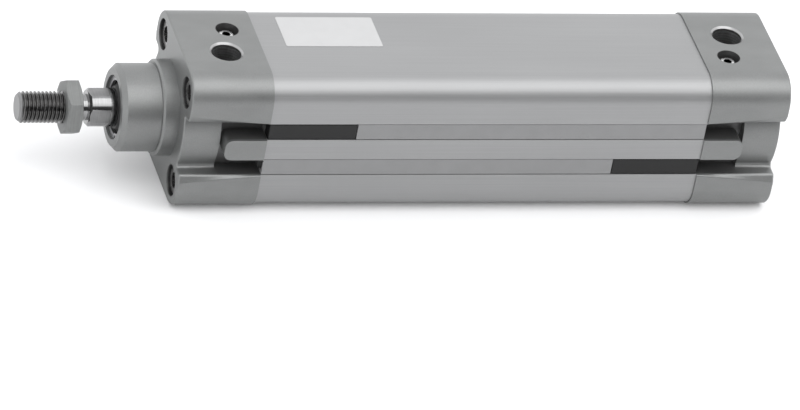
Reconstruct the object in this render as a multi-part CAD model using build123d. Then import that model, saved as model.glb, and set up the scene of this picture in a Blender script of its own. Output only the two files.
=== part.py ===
from build123d import *
import os
from math import cos, radians, sin

# Pneumatic cylinder with a square profile barrel, in millimetres.
# The origin is on the rod's axis, in the front mounting face. The rod points along -X, the ports look up.

# Main sizes
stroke = 100.0
bore_diameter = 32.0
rod_diameter = 12.0
length_without_stroke = 94.0
mounting_hole_spacing = 32.5

# End caps
cap_side = 48.0
cap_corner_radius = 8.5
cap_length = 26.0
cap_edge_radius = 0.6
waist_depth = 3.5
waist_half_height_at_face = 12.4
waist_to_slot_gap = 0.1
waist_wall_draft = 0.2
waist_cutter_depth = 8.5
column_edge_radius = 0.7
column_crease_depth = 1.1
column_crease_drop = 0.5
column_crease_radius = 1.2
waist_corner_radius = 1.2
tongue_start = 13.0
tongue_corner_radius = 2.4
pocket_depth = 7.2
pocket_groove_width = 1.0
spigot_clearance = 0.05
spigot_length = 7.0
spigot_chamfer = 0.6

# Flange and neck of the front cap
flange_diameter = 30.0
flange_length = 5.0
flange_chamfer = 0.6
neck_diameter = 27.4
neck_length = 17.5
neck_chamfer = 1.5

# Centring bore of the rear cap
pilot_bore_diameter = 30.0
pilot_bore_depth = 4.2
pilot_bore_chamfer = 0.4

# Bores for the rod seal and the guide bush
seal_housing_wall = 4.0
seal_housing_depth = 8.0
bush_wall = 1.5
bush_length = 12.5
bush_running_clearance = 0.03
cap_rod_clearance = 0.35
seal_start = 2.2
seal_nose_wall = 1.8
seal_nose_length = 1.7
seal_rod_clearance = 0.02
seal_lip_depth = 1.2
seal_lip_thickness = 1.1

# Retaining ring in front of the rod seal
retaining_groove_depth = 0.7
retaining_groove_start = 0.9
retaining_ring_thickness = 1.0
retaining_groove_play = 0.1
retaining_ring_seat_play = 0.1
retaining_ring_width = 2.2
retaining_ring_gap_angle = 52.0
retaining_lug_diameter = 2.6
retaining_lug_hole_diameter = 1.1
retaining_lug_offset = 1.3

# Cushioning
cushion_chamber_clearance = 0.7
cushion_chamber_start = 9.0
cushion_seal_groove_depth = 1.7
cushion_seal_groove_width = 3.4
cushion_seal_end_gap = 1.0
cushion_seal_sleeve_clearance = 0.1
cushion_seal_play = 0.1
cushion_sleeve_diameter = 16.0
cushion_sleeve_length = 20.0
cushion_sleeve_chamfer = 1.2

# Air ports
port_thread_diameter = 9.4
port_thread_depth = 8.0
port_countersink = 0.6
port_distance = 14.2
port_side_offset = 5.0
port_passage_diameter = 6.0

# Cushion needles
needle_distance = 17.2
needle_side_offset = 7.3
needle_recess_diameter = 7.2
needle_recess_depth = 3.2
needle_diameter = 5.0
needle_clearance = 0.03
needle_top_depth = 1.7
needle_thread_length = 6.4
needle_neck_step = 1.0
needle_neck_length = 1.6
needle_collar_step = 0.2
needle_collar_length = 1.2
needle_point_step = 1.3
needle_point_length = 3.4
needle_tip_diameter = 0.8
needle_lift = 1.5
needle_socket_across_flats = 2.2
needle_socket_depth = 1.8
needle_seat_diameter = 1.8
needle_bore_margin = 0.5
needle_chamfer = 0.35
needle_bypass_diameter = 1.6
needle_bypass_height = 9.6
needle_ring_gap = 0.02

# Cap screws with an inner thread for mountings
screw_head_clearance = 0.25
screw_recess_depth = 19.0
screw_head_diameter = 9.5
screw_head_recess = 1.0
screw_head_chamfer = 0.5
screw_inner_thread_diameter = 5.1
screw_inner_thread_depth = 14.5
screw_socket_across_flats = 4.0
screw_socket_depth = 3.0
screw_shank_diameter = 6.0
screw_shank_length = 22.0
screw_hole_clearance = 0.6
screw_tip_chamfer = 0.6

# Barrel profile
cap_overhang = 0.5
tube_screw_hole_clearance = 0.05
slot_height = 6.5
slot_mouth_width = 5.8
slot_undercut = 0.5
slot_lip_depth = 0.9
slot_depth = 4.6

# Rings between the barrel and the caps
tube_ring_thickness = 1.7
tube_ring_groove_width = 2.3
tube_ring_groove_start = 2.6
tube_ring_seat_play = 0.06
tube_ring_bore_clearance = 0.03
tube_ring_side_play = 0.15
tube_ring_crown = 0.35

# Slot cover strips
strip_side_gap = 0.2
strip_sink = 0.12
strip_thickness = 0.8
strip_leg_thickness = 0.7
strip_leg_depth = 2.6
strip_hook_reach = 0.45
strip_hook_depth = 0.6
strip_hook_clearance = 0.1
strip_end_gap = 0.15

# Position switches
switch_length = 28.2
switch_side_gap = 0.15
switch_sink = 0.1
switch_floor_gap = 0.5
switch_edge_radius = 0.4
switch_end_gap = 0.2

# Piston
piston_clearance = 0.4
piston_half_length = 12.0
piston_end_gap = 0.5
buffer_thickness = 1.5
buffer_inset = 2.1
buffer_width = 4.5
piston_seal_groove_depth = 2.6
piston_seal_groove_width = 4.0
piston_seal_groove_offset = 2.2
piston_seal_clearance = 0.03
piston_seal_play = 0.08
piston_seal_lip_depth = 1.5
piston_seal_lip_thickness = 1.0
wear_ring_width = 7.0
wear_ring_thickness = 1.4
wear_ring_clearance = 0.04
wear_ring_play = 0.08
magnet_cover = 1.5
magnet_width = 5.0
magnet_length = 5.0
magnet_play = 0.05

# Piston rod
rod_projection = 26.0
rod_thread_diameter = 10.0
rod_thread_length = 22.0
rod_thread_chamfer = 1.1
rod_undercut_depth = 0.9
rod_undercut_length = 2.0
rod_end_chamfer = 0.7
rod_flat_depth = 0.5
rod_flat_length = 6.6
rod_stem_step = 1.25
rod_stem_play = 0.05
rod_tail_step = 0.75
rod_tail_end_gap = 1.0
rod_tail_chamfer = 0.6
rear_sleeve_length = 15.5

# Nuts
rod_nut_across_flats = 16.0
rod_nut_thickness = 5.0
rod_nut_gap = 2.6
rod_nut_play = 0.04
nut_chamfer_angle_run = 0.75
piston_nut_across_flats = 13.0
piston_nut_thickness = 5.5
piston_nut_play = 0.03

# Diameters and widths that follow from the sizes above
waist_radius = cap_side / 2 - waist_depth
waist_half_height_at_tube = slot_height + slot_mouth_width / 2 + waist_to_slot_gap
waist_half_height_inside = waist_half_height_at_tube - waist_wall_draft
waist_floor_reach = cap_side / 2 - waist_cutter_depth
tongue_half_height = slot_height - slot_mouth_width / 2
spigot_diameter = bore_diameter - 2 * spigot_clearance
seal_housing_diameter = rod_diameter + 2 * seal_housing_wall
bush_outer_diameter = rod_diameter + 2 * bush_wall
seal_nose_diameter = rod_diameter + 2 * seal_nose_wall
retaining_groove_diameter = seal_housing_diameter + 2 * retaining_groove_depth
retaining_ring_diameter = retaining_groove_diameter - 2 * retaining_ring_seat_play
cushion_chamber_diameter = cushion_sleeve_diameter + 2 * cushion_chamber_clearance
cushion_seal_groove_diameter = cushion_chamber_diameter + 2 * cushion_seal_groove_depth
cushion_seal_inner_diameter = cushion_sleeve_diameter + 2 * cushion_seal_sleeve_clearance
port_rim_diameter = port_thread_diameter + 2 * port_countersink
needle_neck_diameter = needle_diameter - 2 * needle_neck_step
needle_collar_diameter = needle_diameter - 2 * needle_collar_step
needle_point_diameter = needle_diameter - 2 * needle_point_step
screw_recess_diameter = screw_head_diameter + 2 * screw_head_clearance
tube_side = cap_side - 2 * cap_overhang
tube_corner_radius = cap_corner_radius - cap_overhang
tube_screw_hole_diameter = screw_shank_diameter + 2 * tube_screw_hole_clearance
slot_inner_width = slot_mouth_width + 2 * slot_undercut
strip_width = slot_mouth_width - 2 * strip_side_gap
switch_width = slot_mouth_width - 2 * switch_side_gap
switch_depth = slot_depth - switch_floor_gap - switch_sink
piston_diameter = bore_diameter - 2 * piston_clearance
piston_seal_diameter = bore_diameter - 2 * piston_seal_clearance
piston_seal_groove_diameter = piston_diameter - 2 * piston_seal_groove_depth
wear_ring_diameter = bore_diameter - 2 * wear_ring_clearance
wear_ring_inner_diameter = wear_ring_diameter - 2 * wear_ring_thickness
magnet_outer_diameter = wear_ring_inner_diameter - 2 * wear_ring_play - 2 * magnet_cover
magnet_inner_diameter = magnet_outer_diameter - 2 * magnet_width
buffer_outer_diameter = piston_diameter - 2 * buffer_inset
buffer_inner_diameter = buffer_outer_diameter - 2 * buffer_width
rod_undercut_diameter = rod_thread_diameter - 2 * rod_undercut_depth
rod_flat_across = rod_diameter - 2 * rod_flat_depth
rod_stem_diameter = rod_diameter - 2 * rod_stem_step
rod_tail_thread_diameter = rod_stem_diameter - 2 * rod_tail_step

# Derived positions along the rod's axis
body_length = length_without_stroke + stroke
tube_start = cap_length
tube_end = body_length - cap_length
spigot_end = cap_length + spigot_length
rear_spigot_end = body_length - spigot_end
buffer_rear_face = rear_spigot_end - piston_end_gap
piston_rear_face = buffer_rear_face - buffer_thickness
piston_middle = piston_rear_face - piston_half_length
piston_front_face = piston_middle - piston_half_length
half_spacing = mounting_hole_spacing / 2
chamber_end = body_length - cushion_chamber_start


def rod_x(radius, start, end, y=0.0, z=0.0):
    """Cylinder along X."""
    cylinder = Cylinder(radius, end - start, align=(Align.CENTER, Align.CENTER, Align.MIN))
    return Pos(start, y, z) * Rot(0, 90, 0) * cylinder


def rod_z(radius, start, end, x=0.0, y=0.0):
    """Cylinder along Z."""
    cylinder = Cylinder(radius, end - start, align=(Align.CENTER, Align.CENTER, Align.MIN))
    return Pos(x, y, start) * cylinder


def turned_x(points):
    """Body of revolution about X from (position, radius) points."""
    profile = make_face(Polyline(*points, close=True))
    return revolve(profile, Axis.X, 360)


def turned_z(points, x, y):
    """Body of revolution about a vertical axis from (radius, height) points."""
    section = [(radius, 0.0, height) for radius, height in points]
    profile = make_face(Polyline(*section, close=True))
    return Pos(x, y, 0) * revolve(profile, Axis.Z, 360)


def square_bar(side, corner_radius, start, end):
    """Square bar along X with rounded long edges."""
    section = Plane.YZ.offset(start) * RectangleRounded(side, side, corner_radius)
    return extrude(section, end - start)


def hexagon_bar(across_flats, start, end, turn):
    """Hexagonal bar along X."""
    outline = RegularPolygon(across_flats / 2, 6, major_radius=False, rotation=turn)
    return extrude(Plane.YZ.offset(start) * outline, end - start)


def to_rear(shape):
    """Turn a part of the front cap half a turn about Z and carry it to the rear end."""
    return Pos(body_length, 0, 0) * Rot(0, 0, 180) * shape


def waist_section(position, outer_half_height, crease_half_height):
    """Opening of the side recess at one distance from the mounting face."""
    outside = -cap_side / 2 - 1.0
    crease = -cap_side / 2 + column_crease_depth
    slope = (outer_half_height - crease_half_height) / column_crease_depth
    height = outer_half_height + slope
    points = [
        (outside, -height),
        (outside, height),
        (crease, crease_half_height),
        (-waist_floor_reach, waist_half_height_inside),
        (-waist_floor_reach, -waist_half_height_inside),
        (crease, -crease_half_height),
    ]
    return make_face(Plane.YZ.offset(position) * Polyline(*points, close=True))


def pocket_block():
    """Space of the deep pockets above and below the tongue, where the barrel's slots run out."""
    start = tongue_start - pocket_groove_width
    length = cap_length + 1.0 - start
    plan = Pos(start + length / 2, 0) * Rectangle(length, cap_side / 2)
    left_corners = plan.vertices().sort_by(Axis.X)[:2]
    plan = fillet(left_corners, tongue_corner_radius + pocket_groove_width)
    floor = -cap_side / 2 + pocket_depth
    return Pos(0, floor, 0) * Rot(90, 0, 0) * extrude(plan, pocket_depth + 1.0)


def long_edges(shape, distance):
    """Edges along the cap whose middle is at the given distance from the middle plane."""
    return [
        edge
        for edge in shape.edges()
        if edge.length > cap_length * 0.8 and abs(abs(edge.center().Y) - distance) < 0.3
    ]


def waist_cutter():
    """Side recess of a cap around its round middle, with a tongue left standing next to the barrel."""
    overrun = 0.5
    taper = (waist_half_height_at_face - waist_half_height_at_tube) / cap_length
    crease_at_face = waist_half_height_inside + column_crease_drop
    crease_at_tube = waist_half_height_at_tube - waist_wall_draft / 2
    first = waist_section(-overrun, waist_half_height_at_face + taper * overrun, crease_at_face)
    last = waist_section(cap_length + overrun, waist_half_height_at_tube - taper * overrun, crease_at_tube)
    recess = loft([first, last], ruled=True)
    crease = cap_side / 2 - column_crease_depth
    pocket = fillet(long_edges(recess, crease), column_crease_radius) & pocket_block()
    recess -= rod_x(waist_radius, -1.0, cap_length + 1.0)
    wall_end = (waist_radius**2 - waist_half_height_inside**2) ** 0.5
    recess = fillet(long_edges(recess, wall_end), waist_corner_radius)
    recess = fillet(long_edges(recess, crease), column_crease_radius)
    tongue_length = cap_length + 1.0 - tongue_start
    tongue = Pos(tongue_start + tongue_length / 2, 0) * Rectangle(tongue_length, 2 * tongue_half_height)
    left_corners = tongue.vertices().sort_by(Axis.X)[:2]
    tongue = fillet(left_corners, tongue_corner_radius)
    tongue_block = Rot(90, 0, 0) * extrude(tongue, cap_side)
    return recess + pocket - tongue_block


def cap_block():
    """Outer shape of a cap with its waisted sides."""
    block = square_bar(cap_side, cap_corner_radius, 0.0, cap_length)
    cutter = waist_cutter()
    block = block - cutter - mirror(cutter, Plane.XZ)
    column_edges = [
        edge
        for edge in block.edges()
        if abs(abs(edge.center().Y) - cap_side / 2) < 0.3
        and waist_half_height_at_tube - 0.5 < abs(edge.center().Z) < waist_half_height_at_face + 0.5
        and edge.length > cap_length * 0.8
    ]
    block = fillet(column_edges, column_edge_radius)
    outline = block.faces().sort_by(Axis.X)[0].outer_wire().edges()
    return fillet(outline, cap_edge_radius)


def cap_spigot():
    """Spigot that centres a cap in the barrel, with the groove for its ring."""
    radius = spigot_diameter / 2
    groove_start = cap_length + tube_ring_groove_start
    groove_end = groove_start + tube_ring_groove_width
    floor = bore_diameter / 2 - tube_ring_thickness - tube_ring_seat_play
    points = [
        (cap_length - 1.0, 0.0),
        (cap_length - 1.0, radius),
        (groove_start, radius),
        (groove_start, floor),
        (groove_end, floor),
        (groove_end, radius),
        (spigot_end - spigot_chamfer, radius),
        (spigot_end, radius - spigot_chamfer),
        (spigot_end, 0.0),
    ]
    return turned_x(points)


def corner_positions():
    """Centres of the four mounting holes in Y and Z."""
    return [(y, z) for y in (-half_spacing, half_spacing) for z in (-half_spacing, half_spacing)]


def cushion_cutter():
    """Cushion chamber and the groove of its seal."""
    chamber = rod_x(cushion_chamber_diameter / 2, cushion_chamber_start, spigot_end + 1.0)
    groove_end = spigot_end - cushion_seal_end_gap
    groove = rod_x(cushion_seal_groove_diameter / 2, groove_end - cushion_seal_groove_width, groove_end)
    return chamber + groove


def port_cutter():
    """Threaded air port with its countersink and the passage down to the cushion chamber."""
    top = cap_side / 2
    rim = port_rim_diameter / 2
    thread = port_thread_diameter / 2
    x = port_distance
    y = -port_side_offset
    countersink_depth = rim - thread
    countersink = turned_z([(0, top + 1), (rim + 1, top + 1), (thread, top - countersink_depth), (0, top - 2)], x, y)
    threaded = rod_z(thread, top - port_thread_depth, top + 1, x, y)
    passage = rod_z(port_passage_diameter / 2, 4.0, top, x, y)
    return countersink + threaded + passage


def needle_levels():
    """Heights of the needle from its top down to the point."""
    top = cap_side / 2 - needle_top_depth
    thread_end = top - needle_thread_length
    neck_end = thread_end - needle_neck_length
    collar_end = neck_end - needle_collar_length
    tip = collar_end - needle_point_length
    return top, thread_end, neck_end, collar_end, tip


def needle_cutter():
    """Recess, guide, seat and bypass of the cushion needle."""
    x = needle_distance
    y = needle_side_offset
    top, thread_end, neck_end, collar_end, tip = needle_levels()
    recess = rod_z(needle_recess_diameter / 2, cap_side / 2 - needle_recess_depth, cap_side / 2 + 1, x, y)
    guide_radius = needle_diameter / 2 + needle_clearance
    guide = rod_z(guide_radius, collar_end - needle_bore_margin, cap_side / 2, x, y)
    point_room = rod_z(needle_point_diameter / 2 + 0.4, tip - 0.3, collar_end, x, y)
    seat = rod_z(needle_seat_diameter / 2, 2.0, tip, x, y)
    bypass_radius = needle_bypass_diameter / 2
    bypass = rod_x(bypass_radius, x, spigot_end + 1.0, y, needle_bypass_height)
    return recess + guide + point_room + seat + bypass


def screw_cutter():
    """Recess and clearance hole of the four cap screws."""
    holes = None
    for y, z in corner_positions():
        recess = rod_x(screw_recess_diameter / 2, -1.0, screw_recess_depth, y, z)
        through = rod_x((screw_shank_diameter + screw_hole_clearance) / 2, 0.0, cap_length + 1.0, y, z)
        hole = recess + through
        holes = hole if holes is None else holes + hole
    return holes


def common_cap():
    """What both caps share: waisted block, spigot, port, needle bore and screw holes."""
    cap = cap_block() + cap_spigot()
    return cap - cushion_cutter() - port_cutter() - needle_cutter() - screw_cutter()


def make_front_cap():
    """Front cap with the flange, the neck and the bores for seal, bush and rod."""
    flange = flange_diameter / 2
    neck = neck_diameter / 2
    points = [
        (2.0, 0.0),
        (2.0, flange),
        (-flange_length + flange_chamfer, flange),
        (-flange_length, flange - flange_chamfer),
        (-flange_length, neck),
        (-neck_length + neck_chamfer, neck),
        (-neck_length, neck - neck_chamfer),
        (-neck_length, 0.0),
    ]
    cap = common_cap() + turned_x(points)
    housing_end = -neck_length + seal_housing_depth
    cap -= rod_x(seal_housing_diameter / 2, -neck_length - 1.0, housing_end)
    groove_start = -neck_length + retaining_groove_start
    groove_end = groove_start + retaining_ring_thickness + retaining_groove_play
    cap -= rod_x(retaining_groove_diameter / 2, groove_start, groove_end)
    cap -= rod_x(bush_outer_diameter / 2, housing_end - 1.0, housing_end + bush_length)
    return cap - rod_x(rod_diameter / 2 + cap_rod_clearance, 0.0, cushion_chamber_start + 1.0)


def make_rear_cap():
    """Rear cap with its centring bore."""
    radius = pilot_bore_diameter / 2
    points = [
        (-1.0, 0.0),
        (-1.0, radius + pilot_bore_chamfer + 1.0),
        (pilot_bore_chamfer, radius),
        (pilot_bore_depth, radius),
        (pilot_bore_depth, 0.0),
    ]
    return to_rear(common_cap() - turned_x(points))


def slot_profile(height):
    """Cross-section of one T-slot on the side that faces -Y."""
    face = -tube_side / 2
    mouth = slot_mouth_width / 2
    inner = slot_inner_width / 2
    lip = face + slot_lip_depth
    floor = face + slot_depth
    points = [
        (face - 1.0, height - mouth),
        (lip, height - mouth),
        (lip, height - inner),
        (floor, height - inner),
        (floor, height + inner),
        (lip, height + inner),
        (lip, height + mouth),
        (face - 1.0, height + mouth),
    ]
    return make_face(Plane.YZ.offset(tube_start - 1.0) * Polyline(*points, close=True))


def make_tube():
    """Extruded barrel with two switch slots on each side."""
    tube = square_bar(tube_side, tube_corner_radius, tube_start, tube_end)
    tube -= rod_x(bore_diameter / 2, tube_start - 1.0, tube_end + 1.0)
    for height in (-slot_height, slot_height):
        slot = extrude(slot_profile(height), tube_end - tube_start + 2.0)
        tube = tube - slot - mirror(slot, Plane.XZ)
    for y, z in corner_positions():
        tube -= rod_x(tube_screw_hole_diameter / 2, tube_start - 1.0, tube_end + 1.0, y, z)
    return tube


def make_screw(y, z):
    """Cap screw whose long head has an inner thread and a hexagon socket."""
    head = screw_head_diameter / 2
    shank = screw_shank_diameter / 2
    tip = screw_recess_depth + screw_shank_length
    points = [
        (screw_head_recess, 0.0),
        (screw_head_recess, head - screw_head_chamfer),
        (screw_head_recess + screw_head_chamfer, head),
        (screw_recess_depth, head),
        (screw_recess_depth, shank),
        (tip - screw_tip_chamfer, shank),
        (tip, shank - screw_tip_chamfer),
        (tip, 0.0),
    ]
    screw = Pos(0, y, z) * turned_x(points)
    thread_end = screw_head_recess + screw_inner_thread_depth
    screw -= rod_x(screw_inner_thread_diameter / 2, 0.0, thread_end, y, z)
    socket = hexagon_bar(screw_socket_across_flats, thread_end - 0.5, thread_end + screw_socket_depth, 30)
    return screw - Pos(0, y, z) * socket


def make_tube_ring():
    """Round ring between spigot and barrel, drawn compressed."""
    outer = bore_diameter / 2 - tube_ring_bore_clearance
    inner = bore_diameter / 2 - tube_ring_thickness
    start = cap_length + tube_ring_groove_start + tube_ring_side_play
    end = start + tube_ring_groove_width - 2 * tube_ring_side_play
    crown = tube_ring_crown
    points = [
        (start, inner + crown),
        (start, outer - crown),
        (start + crown, outer),
        (end - crown, outer),
        (end, outer - crown),
        (end, inner + crown),
        (end - crown, inner),
        (start + crown, inner),
    ]
    return turned_x(points)


def make_cushion_seal():
    """Cushion seal that closes round the sleeve."""
    end = spigot_end - cushion_seal_end_gap - cushion_seal_play
    start = end - cushion_seal_groove_width + 2 * cushion_seal_play
    outer = cushion_seal_groove_diameter / 2 - cushion_seal_play
    inner = cushion_seal_inner_diameter / 2
    step = cushion_chamber_diameter / 2
    points = [
        (start, step + 0.3),
        (start, outer),
        (end, outer),
        (end, step),
        (end - 0.6, inner),
        (start + 1.2, inner),
    ]
    return turned_x(points)


def make_guide_bush():
    """Plain bearing of the rod."""
    outer = bush_outer_diameter / 2
    inner = rod_diameter / 2 + bush_running_clearance
    start = -neck_length + seal_housing_depth
    end = start + bush_length
    points = [
        (start, inner + 0.4),
        (start, outer),
        (end - 0.5, outer),
        (end, outer - 0.5),
        (end, inner + 0.4),
        (end - 0.4, inner),
        (start + 0.4, inner),
    ]
    return turned_x(points)


def make_rod_seal():
    """Rod seal and wiper in one ring, with its wiping nose at the front."""
    start = -neck_length + seal_start
    end = -neck_length + seal_housing_depth - 0.05
    outer = seal_housing_diameter / 2 - 0.02
    inner = rod_diameter / 2 + seal_rod_clearance
    nose = seal_nose_diameter / 2
    nose_tip = start - seal_nose_length
    points = [
        (nose_tip, inner),
        (nose_tip, inner + 0.5),
        (start, nose),
        (start, outer),
        (end, outer),
        (end, outer - seal_lip_thickness),
        (end - seal_lip_depth, outer - seal_lip_thickness),
        (end - seal_lip_depth, inner + seal_lip_thickness),
        (end, inner + seal_lip_thickness),
        (end, inner),
        (end - 0.6, inner),
        (end - 1.4, inner + 0.3),
        (nose_tip + 1.4, inner + 0.3),
        (nose_tip + 0.6, inner),
    ]
    return turned_x(points)


def make_retaining_ring():
    """Inner retaining ring with two eyes for the pliers."""
    start = -neck_length + retaining_groove_start + retaining_groove_play / 2
    end = start + retaining_ring_thickness
    outer = retaining_ring_diameter / 2
    inner = outer - retaining_ring_width
    ring = rod_x(outer, start, end) - rod_x(inner, start - 1, end + 1)
    half_gap = retaining_ring_gap_angle / 2
    reach = 2 * outer
    wedge_points = [
        (0.0, 0.0),
        (reach * sin(radians(half_gap)), -reach * cos(radians(half_gap))),
        (-reach * sin(radians(half_gap)), -reach * cos(radians(half_gap))),
    ]
    wedge = make_face(Plane.YZ.offset(start - 1) * Polyline(*wedge_points, close=True))
    ring -= extrude(wedge, retaining_ring_thickness + 2)
    eye_reach = outer - retaining_lug_offset
    for side in (-1, 1):
        angle = radians(half_gap + 4.0)
        y = side * eye_reach * sin(angle)
        z = -eye_reach * cos(angle)
        ring += rod_x(retaining_lug_diameter / 2, start, end, y, z)
        ring -= rod_x(retaining_lug_hole_diameter / 2, start - 1, end + 1, y, z)
    return ring


def strip_profile(height, position):
    """Cross-section of a cover strip of the front side with its two snap legs."""
    face = -tube_side / 2 + strip_sink
    half = strip_width / 2
    under = face + strip_thickness
    foot = face + strip_leg_depth
    catch = -tube_side / 2 + slot_lip_depth + strip_hook_clearance
    catch_end = catch + strip_hook_depth
    reach = half + strip_hook_reach
    leg = half - strip_leg_thickness
    points = [
        (face, height - half),
        (catch, height - half),
        (catch, height - reach),
        (catch_end, height - reach),
        (foot, height - half),
        (foot, height - leg),
        (under, height - leg),
        (under, height + leg),
        (foot, height + leg),
        (foot, height + half),
        (catch_end, height + reach),
        (catch, height + reach),
        (catch, height + half),
        (face, height + half),
    ]
    return make_face(Plane.YZ.offset(position) * Polyline(*points, close=True))


def make_strip(height, start, end):
    """Cover strip clipped into one slot of the front side."""
    return extrude(strip_profile(height, start + strip_end_gap), end - start - 2 * strip_end_gap)


def make_switch(height, start):
    """Magnetic position switch that fills the slot of the front side."""
    face = tube_side / 2 - switch_sink
    size = (switch_length, switch_depth, switch_width)
    body = Box(*size, align=(Align.MIN, Align.MIN, Align.CENTER))
    body = fillet(body.edges().group_by(Axis.Y)[0], switch_edge_radius)
    return Pos(start, -face, height) * body


def make_needle():
    """Cushion needle with socket, thread, ring neck, collar and conical point."""
    top, thread_end, neck_end, collar_end, tip = needle_levels()
    radius = needle_diameter / 2
    neck = needle_neck_diameter / 2
    collar = needle_collar_diameter / 2
    point = needle_point_diameter / 2
    points = [
        (0.0, tip),
        (needle_tip_diameter / 2, tip),
        (point, collar_end),
        (collar, collar_end),
        (collar, neck_end),
        (neck, neck_end),
        (neck, thread_end),
        (radius, thread_end),
        (radius, top - needle_chamfer),
        (radius - needle_chamfer, top),
        (0.0, top),
    ]
    needle = turned_z(points, needle_distance, needle_side_offset)
    outline = RegularPolygon(needle_socket_across_flats / 2, 6, major_radius=False)
    socket = extrude(Plane.XY.offset(top - needle_socket_depth) * outline, needle_socket_depth + 1.0)
    return needle - Pos(needle_distance, needle_side_offset, 0) * socket


def make_needle_ring():
    """Small ring that seals the needle in its bore."""
    top, thread_end, neck_end, collar_end, tip = needle_levels()
    outer = needle_diameter / 2 + needle_clearance - needle_ring_gap
    inner = needle_neck_diameter / 2 + needle_ring_gap
    low = neck_end + 0.1
    high = thread_end - 0.1
    crown = 0.3
    points = [
        (inner + crown, low),
        (outer - crown, low),
        (outer, low + crown),
        (outer, high - crown),
        (outer - crown, high),
        (inner + crown, high),
        (inner, high - crown),
        (inner, low + crown),
    ]
    return turned_z(points, needle_distance, needle_side_offset)


def piston_half(direction):
    """One half of the piston, from its middle plane to its seal end."""
    outer = piston_diameter / 2
    groove = piston_seal_groove_diameter / 2
    wear_floor = wear_ring_diameter / 2 - wear_ring_thickness - wear_ring_play
    magnet = magnet_outer_diameter / 2 + magnet_play
    stem = rod_stem_diameter / 2 + rod_stem_play
    groove_end = piston_half_length - piston_seal_groove_offset
    groove_start = groove_end - piston_seal_groove_width
    half_wear = wear_ring_width / 2 + wear_ring_play
    half_magnet = magnet_length / 2 + magnet_play
    core = magnet_inner_diameter / 2 - magnet_play
    points = [
        (0.0, stem),
        (0.0, core),
        (half_magnet, core),
        (half_magnet, magnet),
        (0.0, magnet),
        (0.0, wear_floor),
        (half_wear, wear_floor),
        (half_wear, outer),
        (groove_start, outer),
        (groove_start, groove),
        (groove_end, groove),
        (groove_end, outer),
        (piston_half_length - 0.5, outer),
        (piston_half_length, outer - 0.5),
        (piston_half_length, stem),
    ]
    shifted = [(piston_middle + direction * x, r) for x, r in points]
    return turned_x(shifted)


def piston_seal(direction):
    """Lip seal of one piston half, with its lips towards the pressure side."""
    start = piston_half_length - piston_seal_groove_offset - piston_seal_groove_width + piston_seal_play
    end = piston_half_length - piston_seal_groove_offset - piston_seal_play
    outer = piston_seal_diameter / 2
    inner = piston_seal_groove_diameter / 2 + piston_seal_play
    lip = piston_seal_lip_thickness
    points = [
        (start, inner),
        (start, outer - 0.6),
        (end - 0.9, outer),
        (end, outer - 0.15),
        (end, outer - lip),
        (end - piston_seal_lip_depth, outer - lip - 0.5),
        (end - piston_seal_lip_depth, inner + lip + 0.4),
        (end, inner + lip),
        (end, inner),
    ]
    shifted = [(piston_middle + direction * x, r) for x, r in points]
    return turned_x(shifted)


def make_wear_ring():
    """Guide ring round the middle of the piston."""
    half = wear_ring_width / 2
    outer = wear_ring_diameter / 2
    ring = rod_x(outer, piston_middle - half, piston_middle + half)
    return ring - rod_x(outer - wear_ring_thickness, piston_middle - half - 1, piston_middle + half + 1)


def make_magnet():
    """Ring magnet that the position switches sense."""
    half = magnet_length / 2
    ring = rod_x(magnet_outer_diameter / 2, piston_middle - half, piston_middle + half)
    return ring - rod_x(magnet_inner_diameter / 2, piston_middle - half - 1, piston_middle + half + 1)


def make_buffer(start):
    """Elastic end-of-stroke buffer."""
    end = start + buffer_thickness
    ring = rod_x(buffer_outer_diameter / 2, start, end)
    return ring - rod_x(buffer_inner_diameter / 2, start - 1, end + 1)


def sleeve(start, end, nose_at_start):
    """Cushion sleeve on the rod's stem, with its leading edge chamfered."""
    outer = cushion_sleeve_diameter / 2
    inner = rod_stem_diameter / 2 + rod_stem_play
    chamfer_size = cushion_sleeve_chamfer
    lead = outer - chamfer_size / 2
    if nose_at_start:
        points = [(start, inner), (start, lead), (start + chamfer_size, outer), (end, outer), (end, inner)]
    else:
        points = [(start, inner), (start, outer), (end - chamfer_size, outer), (end, lead), (end, inner)]
    return turned_x(points)


def make_rod():
    """Piston rod with front thread, undercut, four wrench flats, stem and tail thread."""
    shoulder = -rod_projection
    thread_start = shoulder - rod_thread_length
    thread = rod_thread_diameter / 2
    outer = rod_diameter / 2
    undercut = rod_undercut_diameter / 2
    stem_start = piston_front_face - cushion_sleeve_length
    stem = rod_stem_diameter / 2
    tail_start = piston_rear_face + rear_sleeve_length
    tail_end = chamber_end - rod_tail_end_gap
    tail = rod_tail_thread_diameter / 2
    points = [
        (thread_start, 0.0),
        (thread_start, thread - rod_thread_chamfer),
        (thread_start + rod_thread_chamfer, thread),
        (shoulder - rod_undercut_length, thread),
        (shoulder - rod_undercut_length, undercut),
        (shoulder, undercut),
        (shoulder, outer - rod_end_chamfer),
        (shoulder + rod_end_chamfer, outer),
        (stem_start, outer),
        (stem_start, stem),
        (tail_start, stem),
        (tail_start, tail),
        (tail_end - rod_tail_chamfer, tail),
        (tail_end, tail - rod_tail_chamfer),
        (tail_end, 0.0),
    ]
    rod = turned_x(points)
    flat = Box(rod_flat_length + 1.0, rod_diameter + 2, rod_diameter, align=(Align.MIN, Align.CENTER, Align.MIN))
    for turn in (0, 90, 180, 270):
        rod -= Rot(turn, 0, 0) * Pos(shoulder - 1.0, 0, rod_flat_across / 2) * flat
    return rod


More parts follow.
